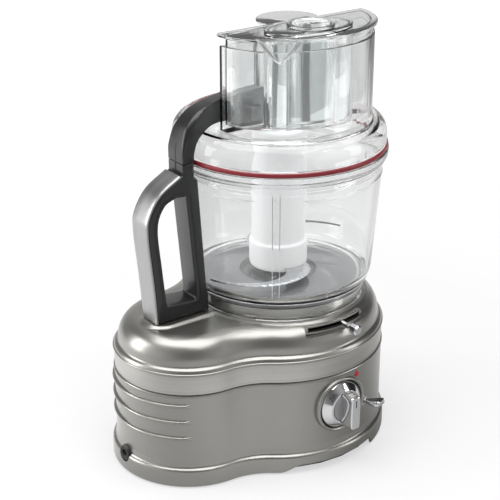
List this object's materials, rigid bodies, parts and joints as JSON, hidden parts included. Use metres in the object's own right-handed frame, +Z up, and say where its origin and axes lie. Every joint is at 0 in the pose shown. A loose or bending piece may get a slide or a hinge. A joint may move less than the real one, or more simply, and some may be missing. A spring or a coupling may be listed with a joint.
{
  "type": "food processor",
  "caption": "Countertop food processor with a two-lobed cast base, belt-driven S-blade, clear handled work bowl, locking lid with a wide feed tube, and nested food pushers.",
  "frame": {"origin": "middle of the bounding box in plan, at the surface the feet stand on", "axes": "+Z up, X along the long side of the base with the handle at -X, the controls face -Y"},
  "size_m": [0.318, 0.267, 0.4589],
  "materials": {
    "pearl_housing": "pearl silver enamel on cast metal",
    "brushed_steel": "brushed",
    "cast_metal": "as cast",
    "machine_steel": "machined",
    "blade_steel": "ground",
    "chrome": "mirror chrome",
    "black_plastic": "satin black",
    "grey_plastic": "satin grey",
    "frosted_plastic": "frosted white",
    "clear_plastic": "clear moulded",
    "red_seal": "satin silicone",
    "red_lens": "glossy lens",
    "rubber": "matte",
    "winding_copper": "varnished windings",
    "circuit_board": "solder resist"
  },
  "bodies": {
    "base": {"base_housing": "pearl_housing", "trim_band": "brushed_steel", "bottom_cover": "black_plastic", "cover_screw_1": "machine_steel", "cover_screw_2": "machine_steel", "cover_screw_3": "machine_steel", "cover_screw_4": "machine_steel", "foot_front_left": "rubber", "foot_back_left": "rubber", "foot_front_right": "rubber", "foot_back_right": "rubber", "cord_inlet": "rubber", "chassis_plate": "cast_metal", "motor_bearing_lower": "machine_steel", "motor_stator": "winding_copper", "motor_bracket": "cast_metal", "motor_bearing_upper": "machine_steel", "drive_belt": "rubber", "spindle_bearing_lower": "machine_steel", "spindle_bearing_upper": "machine_steel", "bowl_seat": "grey_plastic", "knob_bezel": "pearl_housing", "knob_dial": "chrome", "speed_switch": "black_plastic", "indicator_lamp": "red_lens", "control_board": "circuit_board", "interlock_switch": "black_plastic", "lever_slot_frame": "pearl_housing"},
    "rotor": {"motor_rotor": "machine_steel", "motor_shaft": "machine_steel", "motor_pulley": "machine_steel", "cooling_fan": "black_plastic"},
    "spindle": {"drive_pulley": "black_plastic", "drive_spindle": "machine_steel"},
    "knob": {"knob_disc": "grey_plastic", "knob_bar": "chrome", "knob_shaft": "machine_steel"},
    "toggle": {"toggle_lever": "chrome"},
    "slice_lever": {"lever_stem": "chrome", "lever_tip": "chrome", "adjuster_ring": "machine_steel"},
    "bowl": {"bowl_shell": "clear_plastic", "handle_spine": "brushed_steel", "handle_frame": "black_plastic"},
    "interlock": {"interlock_rod": "machine_steel"},
    "blade": {"blade_hub": "frosted_plastic", "blade_lower": "blade_steel", "blade_upper": "blade_steel"},
    "lid": {"lid_shell": "clear_plastic", "lid_seal": "red_seal", "lid_arm": "black_plastic"},
    "large_pusher": {"large_pusher": "clear_plastic", "pusher_bar_left": "black_plastic", "pusher_bar_right": "black_plastic"},
    "medium_pusher": {"medium_pusher": "clear_plastic"},
    "small_pusher": {"small_pusher": "clear_plastic"}
  },
  "joints": [
    {"name": "motor_spin", "type": "hinge", "parent": "base", "child": "rotor", "pos_m": [-0.071, 0.0105, 0.06], "axis": [0, 0, 1], "continuous": true},
    {"name": "spindle_spin", "type": "hinge", "parent": "base", "child": "spindle", "pos_m": [0.041, 0.0105, 0.1], "axis": [0, 0, 1], "continuous": true},
    {"name": "knob_turn", "type": "hinge", "parent": "base", "child": "knob", "pos_m": [0.036, -0.1085, 0.0705], "axis": [0, -1, 0], "range_deg": [-45, 45]},
    {"name": "toggle_tilt", "type": "hinge", "parent": "base", "child": "toggle", "pos_m": [0.07, -0.1025, 0.06], "axis": [0.9576, 0.2881, 0], "range_deg": [0, 30]},
    {"name": "slice_turn", "type": "hinge", "parent": "base", "child": "slice_lever", "pos_m": [0.041, 0.0105, 0.1558], "axis": [0, 0, 1], "range_deg": [-18, 12]},
    {"name": "bowl_lift", "type": "slide", "parent": "base", "child": "bowl", "axis": [0, 0, 1], "range_m": [0, 0.09]},
    {"name": "interlock_press", "type": "slide", "parent": "bowl", "child": "interlock", "axis": [-0.0697, 0, 0.9976], "range_m": [-0.003, 0], "stiffness_N_per_m": 150},
    {"name": "blade_spin", "type": "hinge", "parent": "bowl", "child": "blade", "pos_m": [0.041, 0.0105, 0.25], "axis": [0, 0, 1], "continuous": true},
    {"name": "lid_lift", "type": "slide", "parent": "bowl", "child": "lid", "axis": [0, 0, 1], "range_m": [0, 0.06]},
    {"name": "large_pusher_slide", "type": "slide", "parent": "lid", "child": "large_pusher", "axis": [0, 0, 1], "range_m": [0, 0.1]},
    {"name": "medium_pusher_slide", "type": "slide", "parent": "large_pusher", "child": "medium_pusher", "axis": [0, 0, 1], "range_m": [0, 0.1]},
    {"name": "small_pusher_slide", "type": "slide", "parent": "medium_pusher", "child": "small_pusher", "axis": [0, 0, 1], "range_m": [0, 0.1]}
  ],
  "couplings": [
    {"joint": "spindle_spin", "follows": "motor_spin", "ratio": 0.1774},
    {"joint": "blade_spin", "follows": "motor_spin", "ratio": 0.1774}
  ]
}
